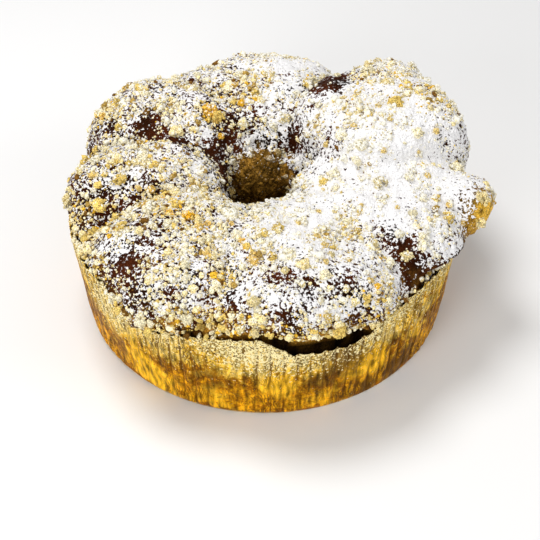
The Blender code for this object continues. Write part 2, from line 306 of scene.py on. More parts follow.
def hole_distance(points):
    """How far a point is inside the hole, whose far side opens out towards the top."""
    x = points[..., 0] - HOLE_X
    y = points[..., 1] - HOLE_Y
    reach = np.hypot(x, y)
    far = np.clip(y / np.maximum(reach, MM), 0, 1) ** FAR_SHARPNESS
    rise = np.clip((points[..., 2] - FUNNEL_START) / (FUNNEL_END - FUNNEL_START), 0, 1)
    widening = FUNNEL_NEAR + (FUNNEL_FAR - FUNNEL_NEAR) * far
    return HOLE_RADIUS + widening * rise ** FUNNEL_CURVE - reach


def dough_distance(points):
    """Distance to the risen dough: the ring and its lobes, less the hole."""
    result = ring_distance(points)
    for lobe in (*LOBES, KNOB):
        result = blend(result, lobe_distance(points, lobe), CREASE_BLEND)
    result = -blend(-result, -hole_distance(points), HOLE_BLEND)
    return blend(result, lobe_distance(points, HOLE_KNOB), CREASE_BLEND)


def azimuths(count):
    """Even steps round the loaf, from 0 to half a turn and then from minus half a turn."""
    turns = 2 * math.pi * np.arange(count) / count
    return np.where(turns > math.pi, turns - 2 * math.pi, turns)


def on_circle(radius, azimuth, height):
    """Points around the loaf's axis."""
    return np.stack([radius * np.cos(azimuth), radius * np.sin(azimuth), height], -1)


def ray(azimuth, turn):
    """Start and direction of a ray from the ring's core, turned up from the outward side."""
    outward = on_circle(1, azimuth, 0 * azimuth)
    up = np.array([0.0, 0.0, 1.0])
    start = CORE_RADIUS * outward + CORE_HEIGHT * up
    return start, np.cos(turn)[..., None] * outward + np.sin(turn)[..., None] * up


def dough_reach(azimuth, turn):
    """Distance along each ray from the core to the dough's outermost surface."""
    start, direction = ray(azimuth, turn)
    reach = np.full(azimuth.shape, RAY_STEP)
    before = dough_distance(start)
    for step in np.arange(RAY_STEP, RAY_LONGEST, RAY_STEP):
        here = dough_distance(start + direction * step)
        leaves = (before < 0) & (here >= 0)
        part = before / np.where(leaves, before - here, 1)
        reach = np.where(leaves, step - RAY_STEP + RAY_STEP * part, reach)
        before = here
    return reach


def lumps(azimuth, turn):
    """Low swellings of the crust, -1 to 1, as in the solids."""
    total = 0
    for round_waves, section_waves, phase in LUMP_WAVES:
        total = total + np.sin(round_waves * azimuth + section_waves * turn + phase)
    return total / len(LUMP_WAVES)


def corner_turns(azimuth):
    """Turns of the section's corners: outer foot, under the lip, and inner foot a full turn on."""
    _, lip = edge_heights(azimuth)
    outer = np.full(azimuth.shape, math.atan2(FLOOR - CORE_HEIGHT, wall_radius(FLOOR) - CORE_RADIUS))
    under_lip = np.arctan2(lip - CORE_HEIGHT, wall_radius(lip) - CORE_RADIUS)
    hole_edge = HOLE_X * np.cos(azimuth) + HOLE_Y * np.sin(azimuth) + HOLE_RADIUS + MM
    inner = np.arctan2(FLOOR - CORE_HEIGHT, hole_edge - CORE_RADIUS) + 2 * math.pi
    return outer, under_lip, inner


def smooth_read(values, places, wrap):
    """Values along the first axis, read at fractional places on a smooth curve through them."""
    base = np.floor(places).astype(int)
    part = (places - base)[:, None]

    def pick(offset):
        index = base + offset
        return values[index % len(values) if wrap else np.clip(index, 0, len(values) - 1)]

    before, first, second, after = pick(-1), pick(0), pick(1), pick(2)
    rise = 3 * (first - second) + after - before
    bend = 2 * before - 5 * first + 4 * second - after
    return first + part / 2 * (second - before + part * (bend + part * rise))


def free_reach():
    """Reach of the dough over the lip, top and hole: traced on a coarse grid, then read finely."""
    azimuth = azimuths(COARSE_COLUMNS)
    _, under_lip, inner = corner_turns(azimuth)
    share = np.linspace(0, 1, COARSE_ROWS)
    low = under_lip + LIP_TURN
    turn = low[:, None] + (inner - low)[:, None] * share
    columns = np.repeat(azimuth[:, None], COARSE_ROWS, 1)
    reach = dough_reach(columns, turn)
    reach = smooth_read(reach, np.arange(COLUMNS) * COARSE_COLUMNS / COLUMNS, True)
    return smooth_read(reach.T, np.linspace(0, COARSE_ROWS - 1, ROWS_FREE), False).T


def gap_at(azimuth):
    """1 in front, where an open gap shows between the dough and the paper, and 0 elsewhere."""
    degrees = np.degrees(azimuth)
    opening = np.clip((degrees - GAP_FROM) / GAP_FADE_LEFT, 0, 1)
    return opening * np.clip((GAP_TO - degrees) / GAP_FADE_RIGHT, 0, 1)


def loaf_grid():
    """Points of the loaf, columns by rows, and how far each row is free of the case."""
    azimuth = azimuths(COLUMNS)
    outer, under_lip, inner = (turns[:, None] for turns in corner_turns(azimuth))
    columns = azimuth[:, None]

    wall_turn = outer + (under_lip - outer) * np.linspace(0, 1, ROWS_WALL)
    approach = np.cos(wall_turn) - CASE_FLARE * np.sin(wall_turn)
    wall_reach = (wall_radius(CORE_HEIGHT) - CORE_RADIUS) / approach
    start, direction = ray(columns + 0 * wall_turn, wall_turn)
    wall = start + direction * wall_reach[..., None]
    rim = edge_heights(columns)[0]
    groove = GROOVE_ELSEWHERE + (GROOVE - GROOVE_ELSEWHERE) * gap_at(columns)
    sunk = groove * np.clip((wall[..., 2] - rim + GROOVE) / GROOVE, 0, 1)
    wall -= sunk[..., None] * on_circle(1, columns, 0 * columns)

    low = under_lip + LIP_TURN
    free_turn = low + (inner - low) * np.linspace(0, 1, ROWS_FREE)
    reach = free_reach() + LUMP_HEIGHT * lumps(columns, free_turn)
    start, direction = ray(columns + 0 * free_turn, free_turn)
    rise = direction[..., 2]
    floor = np.where(rise < -MM, (FLOOR - CORE_HEIGHT) / np.minimum(rise, -MM), RAY_LONGEST)
    free = start + direction * np.minimum(reach, floor)[..., None]

    steps = np.linspace(0, 1, ROWS_BASE + 2)[1:-1, None]
    base = free[:, -1:, :] + (wall[:, :1, :] - free[:, -1:, :]) * steps
    points = np.concatenate([wall, free, base], 1)
    loose = np.concatenate([np.zeros(ROWS_WALL), np.ones(ROWS_FREE), np.zeros(ROWS_BASE)])
    return points, loose


def grid_normals(points):
    """Area-weighted normals of a grid that closes on itself both ways."""
    along = np.roll(points, -1, 0) - np.roll(points, 1, 0)
    down = np.roll(points, -1, 1) - np.roll(points, 1, 1)
    cross = np.cross(along, down) / 4
    area = np.linalg.norm(cross, axis=-1)
    return cross / np.maximum(area, 1e-12)[..., None], area


def noise_at(points, size, shift):
    """Smooth noise, about -1 to 1, with bumps of the given size."""
    flat = points.reshape(-1, 3) / size + shift
    return np.array([noise.noise(Vector(place)) for place in flat]).reshape(points.shape[:-1])


def spots_at(points, spots):
    """Sum of soft round spots at each point."""
    total = 0
    for spot in spots:
        gap = points / MM - np.array([spot.x, spot.y, spot.z])
        total = total + spot.amount * np.exp(-(gap ** 2).sum(-1) / spot.radius ** 2)
    return total


def crease_at(points):
    """How near a point is to a valley between the lobes of the left side, or to the deep one at the back."""
    gaps = np.sort(np.stack([lobe_distance(points, lobe) for lobe in LOBES]), 0)
    left = np.exp(-(np.arctan2(points[..., 1], -points[..., 0]) / CREASES_WITHIN) ** 2)
    from_back = np.degrees(np.arctan2(points[..., 1], points[..., 0])) - BACK_CREASE
    back = BACK_CREASE_DEEPER * np.exp(-(from_back / BACK_CREASE_WITHIN) ** 2)
    return np.exp(-((gaps[1] - gaps[0]) / CREASE_WIDTH) ** 2) * np.maximum(left, back)


def right_side(points):
    """0 on the left of the loaf, 1 on the right, where far more sugar fell."""
    return 1 / (1 + np.exp(-(points[..., 0] / MM - RIGHT_FROM) / RIGHT_FADE))


def bread_at(points):
    """1 on the torn bread inside the hole, 0 on the crust."""
    ragged = BREAD_RAGGED * noise_at(points, BREAD_BAYS, 5.5)
    from_hole = np.hypot(points[..., 0] - HOLE_X, points[..., 1] - HOLE_Y)
    deep = np.clip((BREAD_TOP - points[..., 2] + ragged) / BREAD_FADE, 0, 1)
    deep = deep * np.clip((BREAD_REACH - from_hole) / BREAD_FADE, 0, 1)
    from_face = np.linalg.norm(points - BREAD_FACE, axis=-1)
    return np.maximum(deep, np.clip((BREAD_RADIUS - from_face + 2 * ragged) / BREAD_FADE, 0, 1))


def under_lip_at(points, fade=UNDER_LIP):
    """Above 0 in the groove behind the paper's edge and just under the lip, where the crust is darkened with
    painted shade: 1 in the open gap in front.
    """
    azimuth = np.arctan2(points[..., 1], points[..., 0])
    rim, lip = edge_heights(azimuth)
    top = np.minimum(lip + UNDER_LIP, rim + GAP_OPEN)
    outside = np.hypot(points[..., 0], points[..., 1]) > CORE_RADIUS
    gap = GROOVE_SHADE_ELSEWHERE + (1 - GROOVE_SHADE_ELSEWHERE) * gap_at(azimuth)
    return np.clip((top - points[..., 2]) / fade, 0, 1) * outside * gap


def front_band(points):
    """1 at the lip in front, 0 well above it and elsewhere."""
    azimuth = np.arctan2(points[..., 1], points[..., 0])
    _, lip = edge_heights(azimuth)
    outside = np.hypot(points[..., 0], points[..., 1]) > CORE_RADIUS
    degrees = np.degrees(azimuth)
    ends = np.clip((degrees - BAND_FROM) / BAND_FADE, 0, 1) * np.clip((BAND_TO - degrees) / BAND_FADE, 0, 1)
    return np.clip((lip + BAND - points[..., 2]) / (BAND / 2), 0, 1) * outside * ends


def sugar_at(points, normals):
    """How thick icing sugar lies, from 0 for none to 1 for a closed cover."""
    x, y, z = np.moveaxis(points / MM, -1, 0)
    hollow = np.clip((HOLLOW_TOP - z) / HOLLOW_FADE, 0, 1) * (np.hypot(x, y) < HOLLOW_WIDE)
    hollow = np.maximum(hollow, BREAD_BARE * bread_at(points))
    side = np.clip(-SIDE_TURN - normals[..., 2], 0, 1)
    level = 0.55 + 0.20 * right_side(points)
    level = level + 0.7 * spots_at(points, WHITE) - 0.45 * spots_at(points, DARK)
    # Less sugar in the valleys between lobes: painted shade, the dark crust showing through
    level = level - 0.15 * spots_at(points, GOLDEN) - 0.30 * crease_at(points)
    level = np.maximum(level - 0.30 * front_band(points), SUGAR_LEAST)
    level = level - 0.35 * hollow - 0.9 * side
    # No sugar in the groove under the lip, so that its painted shade stays dark
    level = level - 1.5 * under_lip_at(points) - 0.6 * spots_at(points, BAKED)
    return np.clip(level, 0, SUGAR_MOST)


def grid_mesh(name, points):
    """A closed skin over a grid of points that joins up both ways."""
    columns, rows = points.shape[:2]
    index = np.arange(columns * rows).reshape(columns, rows)
    east, south = np.roll(index, -1, 0), np.roll(index, -1, 1)
    corner = np.roll(east, -1, 1)
    quads = np.stack([index, east, corner, south], -1).reshape(-1, 4)
    return face_mesh(name, points.reshape(-1, 3), quads)


def face_mesh(name, points, faces):
    """A mesh from arrays of points and of faces with the same number of corners each."""
    mesh = bpy.data.meshes.new(name)
    sides = faces.shape[1]
    mesh.vertices.add(len(points))
    mesh.vertices.foreach_set("co", points.astype(np.float32).ravel())
    mesh.loops.add(faces.size)
    mesh.loops.foreach_set("vertex_index", faces.astype(np.int32).ravel())
    mesh.polygons.add(len(faces))
    mesh.polygons.foreach_set("loop_start", np.arange(0, faces.size, sides, dtype=np.int32))
    mesh.update(calc_edges=True)
    mesh.validate()
    return mesh


def keep(mesh, name, values, kind="FLOAT", field="value"):
    """Keeps a value of each point with the mesh."""
    kept = mesh.attributes.new(name, kind, "POINT")
    kept.data.foreach_set(field, values.astype(np.float32).ravel())


def paint(mesh, tint, sugar):
    """Keeps each point's own colour and its share of icing sugar with the mesh."""
    keep(mesh, "tint", np.concatenate([tint, np.ones((len(tint), 1))], 1), "FLOAT_COLOR", "color")
    keep(mesh, "sugar", sugar)


# Crust colours, linear
CRUST_DARK = np.array([0.012, 0.0034, 0.0010])
CRUST_BROWN = np.array([0.080, 0.017, 0.0040])
CRUST_GOLD = np.array([0.62, 0.30, 0.035])
KNOB_GOLD = np.array([0.98, 0.58, 0.070])
BREAD = np.array([0.23, 0.118, 0.018])
# Sugar's white on the crust and on the streusel, which shows through it
CRUST_WHITE = (0.915, 0.905, 0.910, 1)
STREUSEL_WHITE = (0.93, 0.905, 0.81, 1)
# The golden foot of the crust, in mm: its top, over what height it fades, and how far out it starts
GOLDEN_TOP = 76
GOLDEN_FADE = 14
GOLDEN_OUTSIDE = 95


def mottle(points, size, shift, middle, strength, least=0, most=1):
    """Blotches of the given size around a middle value, held between two limits."""
    return np.clip(middle + strength * noise_at(points, size, shift), least, most)


def toward(tint, colour, share):
    """The tint, mixed with another colour by its share at each point."""
    return tint + (colour - tint) * share[..., None]


def crust_tint(points):
    """Colour of the baked crust between the crumbs, with painted shade in the groove under the lip."""
    x, y, z = np.moveaxis(points / MM, -1, 0)
    tint = toward(CRUST_DARK, CRUST_BROWN, mottle(points, 14 * MM, 3.7, 0.5, 0.9))
    crumbly = mottle(points, BREAD_BAYS, 8.7, 0.95, 1.5, 0.3, 1.7)[..., None]
    tint = toward(tint, BREAD * crumbly, bread_at(points))
    foot = np.clip((GOLDEN_TOP - z) / GOLDEN_FADE, 0, 1) * (np.hypot(x, y) > GOLDEN_OUTSIDE)
    foot = foot * mottle(points, 11 * MM, 7.9, 0.6, 1)
    foot = (0.6 * foot + 0.5 * front_band(points)) * mottle(points, 5 * MM, 2.9, 0.4, 1.6)
    tint = toward(tint, CRUST_GOLD, np.clip(foot, 0, 1))
    baked = spots_at(points, BAKED) * mottle(points, 3 * MM, 6.1, 0.75, 0.9)
    tint = toward(tint, KNOB_GOLD, np.clip(baked, 0, 1))
    # Painted shade: the crust darkened in the groove under the lip, most in the open gap in front
    return tint * (1 - GROOVE_SHADE * under_lip_at(points, GAP_DARKENS))[..., None]


def node(tree, kind, **values):
    made = tree.nodes.new(kind)
    for name, value in values.items():
        if hasattr(made, name):
            setattr(made, name, value)
        else:
            made.inputs[name].default_value = value
    return made


def new_material(name, roughness, gloss, gloss_tint=(1, 1, 1, 1)):
    made = bpy.data.materials.new(name)
    made.use_nodes = True
    shader = made.node_tree.nodes["Principled BSDF"]
    shader.inputs["Roughness"].default_value = roughness
    shader.inputs["Specular IOR Level"].default_value = gloss
    shader.inputs["Specular Tint"].default_value = gloss_tint
    return made, made.node_tree, shader


def point_value(tree, name, socket="Fac"):
    """A value that is kept with each point of the mesh."""
    return node(tree, "ShaderNodeAttribute", attribute_name=name).outputs[socket]


def noise_node(tree, place, size, detail=2.0):
    made = node(tree, "ShaderNodeTexNoise", Scale=1 / size, Detail=detail)
    tree.links.new(place, made.inputs["Vector"])
    return made.outputs["Fac"]


def math_node(tree, operation, first, second=0, clamp=False):
    made = node(tree, "ShaderNodeMath", operation=operation, use_clamp=clamp)
    for socket, value in zip(made.inputs, (first, second)):
        if isinstance(value, (int, float)):
            socket.default_value = value
        else:
            tree.links.new(value, socket)
    return made.outputs[0]


def plus_node(tree, base, source, strength, middle=0):
    """The base value plus another one times its strength, which is measured from its middle."""
    if middle:
        source = math_node(tree, "SUBTRACT", source, middle)
    return math_node(tree, "ADD", base, math_node(tree, "MULTIPLY", source, strength))


def step_node(tree, value, low, high, first=0, last=1, kind="SMOOTHSTEP"):
    """Runs from first to last while the value goes from low to high."""
    made = node(tree, "ShaderNodeMapRange", interpolation_type=kind)
    for name, limit in (("From Min", low), ("From Max", high), ("To Min", first), ("To Max", last)):
        made.inputs[name].default_value = limit
    tree.links.new(value, made.inputs["Value"])
    return made.outputs["Result"]


def mix_node(tree, share, first, second):
    made = node(tree, "ShaderNodeMix", data_type="RGBA")
    for name, kind, value in (("Factor", "VALUE", share), ("A", "RGBA", first), ("B", "RGBA", second)):
        socket = next(found for found in made.inputs if (found.name, found.type) == (name, kind))
        if hasattr(value, "is_linked"):
            tree.links.new(value, socket)
        else:
            socket.default_value = value
    return next(found for found in made.outputs if found.type == "RGBA")


def scale_node(tree, colour, factor):
    """The colour made lighter or darker by a factor."""
    made = node(tree, "ShaderNodeVectorMath", operation="SCALE")
    tree.links.new(colour, made.inputs[0])
    tree.links.new(factor, made.inputs["Scale"])
    return made.outputs[0]


def finish_material(tree, shader, colour, height, strength, distance):
    """Gives the shader its colour, and fine bumps from a height."""
    tree.links.new(colour, shader.inputs["Base Color"])
    relief = node(tree, "ShaderNodeBump", Strength=strength, Distance=distance)
    tree.links.new(height, relief.inputs["Height"])
    tree.links.new(relief.outputs["Normal"], shader.inputs["Normal"])


def sugared_material(name, roughness, fleck, bump, white_colour):
    """Colour from the points, under a white dusting in flecks where sugar lies."""
    made, tree, shader = new_material(name, roughness, 0.05, (1, 0.70, 0.45, 1))
    place = node(tree, "ShaderNodeTexCoord").outputs["Object"]
    sugar = point_value(tree, "sugar")
    facing = node(tree, "ShaderNodeNewGeometry")
    split = node(tree, "ShaderNodeSeparateXYZ")
    tree.links.new(facing.outputs["Normal"], split.inputs[0])
    upward = split.outputs["Z"]
    grain = noise_node(tree, place, fleck, 1.5)
    fine = noise_node(tree, place, fleck / 2.4, 1.0)
    patch = noise_node(tree, place, 8 * MM)
    level = math_node(tree, "MULTIPLY", sugar, 3.3)
    for source, strength in ((grain, 7.5), (fine, 3.5), (patch, 3.0)):
        level = plus_node(tree, level, source, strength, 0.5)
    level = plus_node(tree, level, upward, 0.9, 0.6)
    dusted = step_node(tree, sugar, 0.0, 0.12)
    white = math_node(tree, "MULTIPLY", step_node(tree, level, 1.45, 2.1), dusted)
    shade = step_node(tree, fine, 0.3, 0.7, 0.40, 1.50, "LINEAR")
    baked = scale_node(tree, point_value(tree, "tint", "Color"), shade)
    finish_material(tree, shader, mix_node(tree, white, baked, white_colour), level, bump, 0.5 * MM)
    return made


def make_loaf():
    """The ring of dough itself, which replaces the plain solid."""
    points, loose = loaf_grid()
    normals, _ = grid_normals(points)
    valley = crease_at(points) * loose
    points = points - normals * (valley * CREASE_DEPTH)[..., None]
    raised = 0
    for size, height in RELIEF:
        bumps = noise_at(points, size, 1.3) * loose
        points = points + normals * (bumps * height)[..., None]
        raised = raised + bumps
    normals, area = grid_normals(points)
    mesh = grid_mesh("loaf_crust", points)
    mesh.shade_smooth()
    flat = points.reshape(-1, 3)
    sugar = sugar_at(points, normals) + RAISED_SUGAR * raised
    paint(mesh, crust_tint(flat), np.clip(sugar, 0, SUGAR_MOST).ravel())
    loaf = new_object("loaf_crust", mesh)
    mesh.materials.append(sugared_material("dusted_crust", 0.5, 1.8 * MM, 0.6, CRUST_WHITE))
    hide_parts("babka")
    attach(loaf, "root")
    return points, normals, area * loose


def ball(level):
    """Points and triangles of a round ball of radius 1."""
    made = bmesh.new()
    bmesh.ops.create_icosphere(made, subdivisions=level, radius=1)
    points = np.array([vertex.co[:] for vertex in made.verts])
    faces = np.array([[corner.index for corner in face.verts] for face in made.faces])
    made.free()
    return points, faces


def random_turns(draw, count):
    """Random rotation matrices."""
    q = draw.normal(size=(count, 4))
    w, x, y, z = (q / np.linalg.norm(q, axis=1, keepdims=True)).T
    return np.stack([
        np.stack([1 - 2 * (y * y + z * z), 2 * (x * y - z * w), 2 * (x * z + y * w)], -1),
        np.stack([2 * (x * y + z * w), 1 - 2 * (x * x + z * z), 2 * (y * z - x * w)], -1),
        np.stack([2 * (x * z - y * w), 2 * (y * z + x * w), 1 - 2 * (x * x + y * y)], -1)], 1)


# A crumb's shape: how far it is stretched and bumpy, and its waves' number, fineness, height and shift
CRUMB_STRETCH = 0.65, 1.30
CRUMB_BUMPS = 0.22
CRUMB_WAVES = 3
WAVES_FINE = 2.3
WAVES_HIGH = 0.14
WAVES_SHIFT = 6.3


def make_crumbs(name, centres, radii, tint, sugar, level, material, draw):
    """Rough crumbs, each a ball bent out of shape by waves of its own, joined as one mesh."""
    shape, faces = ball(level)
    count = len(centres)
    stretch = draw.uniform(*CRUMB_STRETCH, (count, 1, 3))
    bumpy = 1 + draw.uniform(-CRUMB_BUMPS, CRUMB_BUMPS, (count, len(shape)))
    for _ in range(CRUMB_WAVES):
        waves = draw.normal(size=(count, 3)) * WAVES_FINE
        bumpy += WAVES_HIGH * np.sin(waves @ shape.T + draw.uniform(0, WAVES_SHIFT, (count, 1)))
    points = np.einsum("nvk,nkj->nvj", shape * bumpy[..., None] * stretch, random_turns(draw, count))
    points = centres[:, None, :] + points * radii[:, None, None]
    all_faces = (faces[None] + (np.arange(count) * len(shape))[:, None, None]).reshape(-1, 3)
    mesh = face_mesh(name, points.reshape(-1, 3), all_faces)
    paint(mesh, np.repeat(tint, len(shape), 0), np.repeat(sugar, len(shape)))
    mesh.materials.append(material)
    made = new_object(name, mesh)
    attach(made, "root")


# Crumb colours, linear, with how many are of each colour where crumbs are plain and where they are golden
CRUMB_COLOURS = (
    ((0.95, 0.86, 0.59), 0.47, 0.20), ((0.90, 0.75, 0.38), 0.36, 0.40), ((0.82, 0.60, 0.17), 0.06, 0.20),
    ((0.84, 0.49, 0.045), 0.01, 0.10), ((0.45, 0.29, 0.07), 0.06, 0.05), ((0.20, 0.095, 0.018), 0.04, 0.05))
# How much less sugar each colour of crumb carries
CRUMB_BARE = np.array([0.0, 0.08, 0.22, 0.35, 0.22, 0.30])
# How far single crumbs are darker or lighter, on the crust and in the torn bread
CRUMB_TINTS = 0.85, 1.1
BREAD_TINTS = 0.5, 1.5
# Some crumbs of the right side have shed their sugar: how many, and how much of it
SHED_SHARE = 0.22
SHED = 0.45
# Clumps that stand out: colours and sugar
CLUMP_YELLOW = np.array([0.80, 0.62, 0.25])
CLUMP_GOLD = np.array([0.87, 0.49, 0.035])
SPECIAL_SUGAR = 0.20
# A clump's rough core, and its grains: how far they lie outward, their spread, sizes, tints and sugar
CLUMP_CORE = 0.72
GRAINS_OUTWARD = 0.8
GRAIN_SPREAD = 0.6, 0.9
GRAIN_SIZES = 0.18, 0.36
GRAIN_TINTS = 0.8, 1.12
GRAIN_SUGAR = 0.12
# Radii in mm of the crumbs at the paper's edge and above the open gap
EDGE_SIZES = 0.6, 1.8
GAP_SIZES = 0.7, 1.5
# Clumps take the first kinds of crumb alone, the palest
CLUMP_KINDS = 3


def crumb_finish(draw, centres, bare=0, kinds=len(CRUMB_COLOURS)):
    """Colour of each crumb, from pale cream to brown, and how much sugar is on it."""
    count = len(centres)
    golden = np.clip(spots_at(centres, GOLDEN) + BAND_GOLDEN * front_band(centres), 0, 1)
    shades, plain_share, golden_share = zip(*CRUMB_COLOURS)
    plain_limits = np.cumsum(plain_share)
    limits = plain_limits + (np.cumsum(golden_share) - plain_limits) * golden[:, None]
    chosen = np.minimum((draw.uniform(0, 1, (count, 1)) > limits).sum(1), kinds - 1)
    colours = np.array(shades)[chosen] * draw.uniform(*CRUMB_TINTS, (count, 1))
    right = right_side(centres)
    bread = bread_at(centres)
    level = 0.43 + 0.27 * right + 0.4 * spots_at(centres, WHITE)
    level = level - 0.35 * golden - 0.5 * bread
    level = level - bare * right - SHED * right * (draw.uniform(0, 1, count) < SHED_SHARE)
    colours = toward(colours, BREAD * draw.uniform(*BREAD_TINTS, (count, 1)), bread)
    return colours, np.clip(level - CRUMB_BARE[chosen] * (1 - 0.5 * right), 0, 1)


def scatter(draw, points, normals, area, count, even):
    """Places on the loaf's open surface: fewer where the crust is bare, in the hole and in thick sugar."""
    flat, ups, sizes = points.reshape(-1, 3), normals.reshape(-1, 3), area.ravel()
    x, y, z = flat.T / MM
    open_top = np.clip((ups[:, 2] + OVERHANG) * OVERHANG_FADE, 0, 1) * (1 - under_lip_at(flat))
    crowd = 0.75 + 1.2 * spots_at(flat, GOLDEN) - 0.6 * spots_at(flat, DARK)
    crowd = crowd - 0.5 * right_side(flat) - 0.3 * crease_at(flat)
    crowd = crowd + DRIFT_STRENGTH * noise_at(flat, DRIFT, 4.9) + 1.2 * bread_at(flat)
    crowd = crowd + 1.3 * front_band(flat) - 3 * spots_at(flat, BAKED)
    hollow = np.clip((z - HOLLOW_FLOOR) / HOLLOW_RISE, HOLLOW_LEAST, 1)
    hollow = np.where(np.hypot(x, y) < HOLLOW_WIDE, hollow, 1)
    chance = sizes * open_top * hollow * np.clip(crowd + even, *CROWD_LIMITS)
    chosen = draw.choice(len(flat), size=count, replace=False, p=chance / chance.sum())
    return flat[chosen], ups[chosen]


def clump_places():
    """Places, radii and outward directions of the clumps, the largest first, as in the solids."""
    draw = random.Random(CLUMP_SEED)
    azimuth = np.array([draw.uniform(-math.pi, math.pi) for _ in range(CLUMP_TRIES)])
    share = np.array([draw.uniform(0, 1) for _ in range(CLUMP_TRIES)])
    lowest = corner_turns(azimuth)[1] + LIP_TURN
    turn = lowest + (CLUMP_INNERMOST - lowest) * share
    start, outward = ray(azimuth, turn)
    centres = start + outward * (dough_reach(azimuth, turn) + LUMP_HEIGHT * lumps(azimuth, turn))[:, None]
    headroom = centres[:, 2] - edge_heights(azimuth)[1]
    placed = []
    for number in range(CLUMPS):
        radius = CLUMP_LARGE + (CLUMP_SMALL - CLUMP_LARGE) * (number / CLUMPS) ** CLUMP_SHRINK
        for place in range(CLUMP_TRIES):
            apart = all(np.linalg.norm(centres[place] - centres[other]) > CLUMP_SPACING * (radius + size)
                        for other, size in placed)
            if apart and headroom[place] > CLUMP_HEADROOM * radius:
                placed.append((place, radius))
                break
    chosen = [place for place, _ in placed]
    return centres[chosen], np.array([radius for _, radius in placed]), outward[chosen]


def standing_out(points, normals):
    """Places, radii, outward directions and colours of the clumps that stand out from the rest."""
    spots = CLUMPS_RIGHT + CLUMPS_LEFT
    flat, ups = points.reshape(-1, 3), normals.reshape(-1, 3)
    nearest = [np.argmin(((flat / MM - spot[:3]) ** 2).sum(1)) for spot in spots]
    radii = np.array([spot.radius for spot in spots]) * MM
    depth = np.array([spot.amount for spot in spots])
    return flat[nearest], radii, ups[nearest], toward(CLUMP_YELLOW, CLUMP_GOLD, depth ** 2)


def make_clumps(draw, material, points, normals):
    """Clumps at the solids' places and those that stand out, each a rough core covered in grains."""
    *special, special_tint = standing_out(points, normals)
    centres, radii, outward = (np.concatenate(pair) for pair in zip(clump_places(), special))
    middles = centres - outward * (radii * CLUMP_SINK)[:, None]
    tint, sugar = crumb_finish(draw, middles, CLUMP_BARE, CLUMP_KINDS)
    tint[-len(special_tint):] = special_tint
    sugar[-len(special_tint):] = SPECIAL_SUGAR
    make_crumbs("streusel_clumps", middles, radii * CLUMP_CORE, tint, sugar, 3, material, draw)
    aim = draw.normal(size=(len(middles), CLUMP_GRAINS, 3)) + outward[:, None, :] * GRAINS_OUTWARD
    aim /= np.linalg.norm(aim, axis=2, keepdims=True)
    spread = draw.uniform(*GRAIN_SPREAD, (len(middles), CLUMP_GRAINS, 1)) * radii[:, None, None]
    places = (middles[:, None, :] + aim * spread).reshape(-1, 3)
    sizes = np.repeat(radii, CLUMP_GRAINS) * draw.uniform(*GRAIN_SIZES, len(places))
    tints = np.repeat(tint, CLUMP_GRAINS, 0) * draw.uniform(*GRAIN_TINTS, (len(places), 1))
    sugars = np.clip(np.repeat(sugar, CLUMP_GRAINS) + draw.normal(0, GRAIN_SUGAR, len(places)), 0, 1)
    make_crumbs("streusel_clump_grains", places, sizes, tints, sugars, 1, material, draw)


def edge_crumbs(draw):
    """Places and radii of the crumbs caught along the paper's edge."""
    azimuth = draw.uniform(-math.pi, math.pi, EDGE_CRUMBS)
    azimuth = azimuth[gap_at(azimuth) == 0]
    count = len(azimuth)
    rim, _ = edge_heights(azimuth)
    radius = wall_radius(rim) + draw.uniform(-1.4, 1.8, count) * MM
    height = rim + draw.normal(0.5, 1.3, count) * MM
    return on_circle(radius, azimuth, height), draw.uniform(*EDGE_SIZES, count) * MM


def gap_crumbs(draw):
    """Places and radii of the crumbs under the lip, above the open gap in front."""
    azimuth = np.radians(draw.uniform(GAP_FROM, GAP_TO, GAP_CRUMBS))
    rim, lip = edge_heights(azimuth)
    azimuth, low, lip = (values[lip - rim > GAP_OPEN] for values in (azimuth, rim + GAP_OPEN, lip))
    count = len(azimuth)
    height = low + (lip - low) * draw.uniform(0, 1, count)
    radius = wall_radius(height) - GROOVE + draw.uniform(0, 1.2, count) * MM
    return on_circle(radius, azimuth, height), draw.uniform(*GAP_SIZES, count) * MM


def make_streusel(points, normals, area):
    """Streusel from clumps of many grains down to specks."""
    draw = np.random.default_rng(SEED)
    material = sugared_material("streusel", 0.8, 1.5 * MM, 0.4, STREUSEL_WHITE)
    make_clumps(draw, material, points, normals)
    for name, count, small, large, level, even in LOOSE:
        centres, ups = scatter(draw, points, normals, area, count, even)
        radii = (small + (large - small) * draw.uniform(0, 1, count) ** 2) * MM
        centres = centres + ups * radii[:, None] * 0.10
        if name == "streusel_crumbs":
            for more, more_radii in (edge_crumbs(draw), gap_crumbs(draw)):
                centres, radii = np.concatenate([centres, more]), np.concatenate([radii, more_radii])
        tint, sugar = crumb_finish(draw, centres)
        make_crumbs(name, centres, radii, tint, sugar, level, material, draw)


# The paper's colours, linear: by tone from the foot up, the gold near the foot partly a painted reflection of
# a gold board; then of its marks, creases (grease and painted shade), dust, specks, painted white highlight
# and foot
PAPER_TONES = (
    (0.0, (0.36, 0.13, 0.002)), (0.10, (0.74, 0.36, 0.008)), (0.25, (0.46, 0.19, 0.003)),
    (0.42, (0.17, 0.055, 0.001)), (0.58, (0.39, 0.175, 0.005)), (0.78, (0.71, 0.44, 0.050)),
    (1.0, (0.62, 0.44, 0.12)))
PAPER_GOLD_AND_HIGHLIGHT = (0.84, 0.46, 0.020, 1)
PAPER_SHADE = (0.11, 0.048, 0.005, 1)
PAPER_GREASE_AND_SHADE = (0.09, 0.030, 0.001, 1)
PAPER_DUST = (0.90, 0.78, 0.42, 1)
PAPER_SPECK = (0.11, 0.055, 0.010, 1)
PAPER_WHITE_HIGHLIGHT = (0.93, 0.88, 0.78, 1)
PAPER_FOOT = (0.95, 0.80, 0.42, 1)
PALE_LIFT = 0.3
# Creases round the wall, and how far they wander: the size of each swing and its strength
WRINKLES = 420
WRINKLE_SWINGS = ((11 * MM, 7.0), (3 * MM, 1.4))
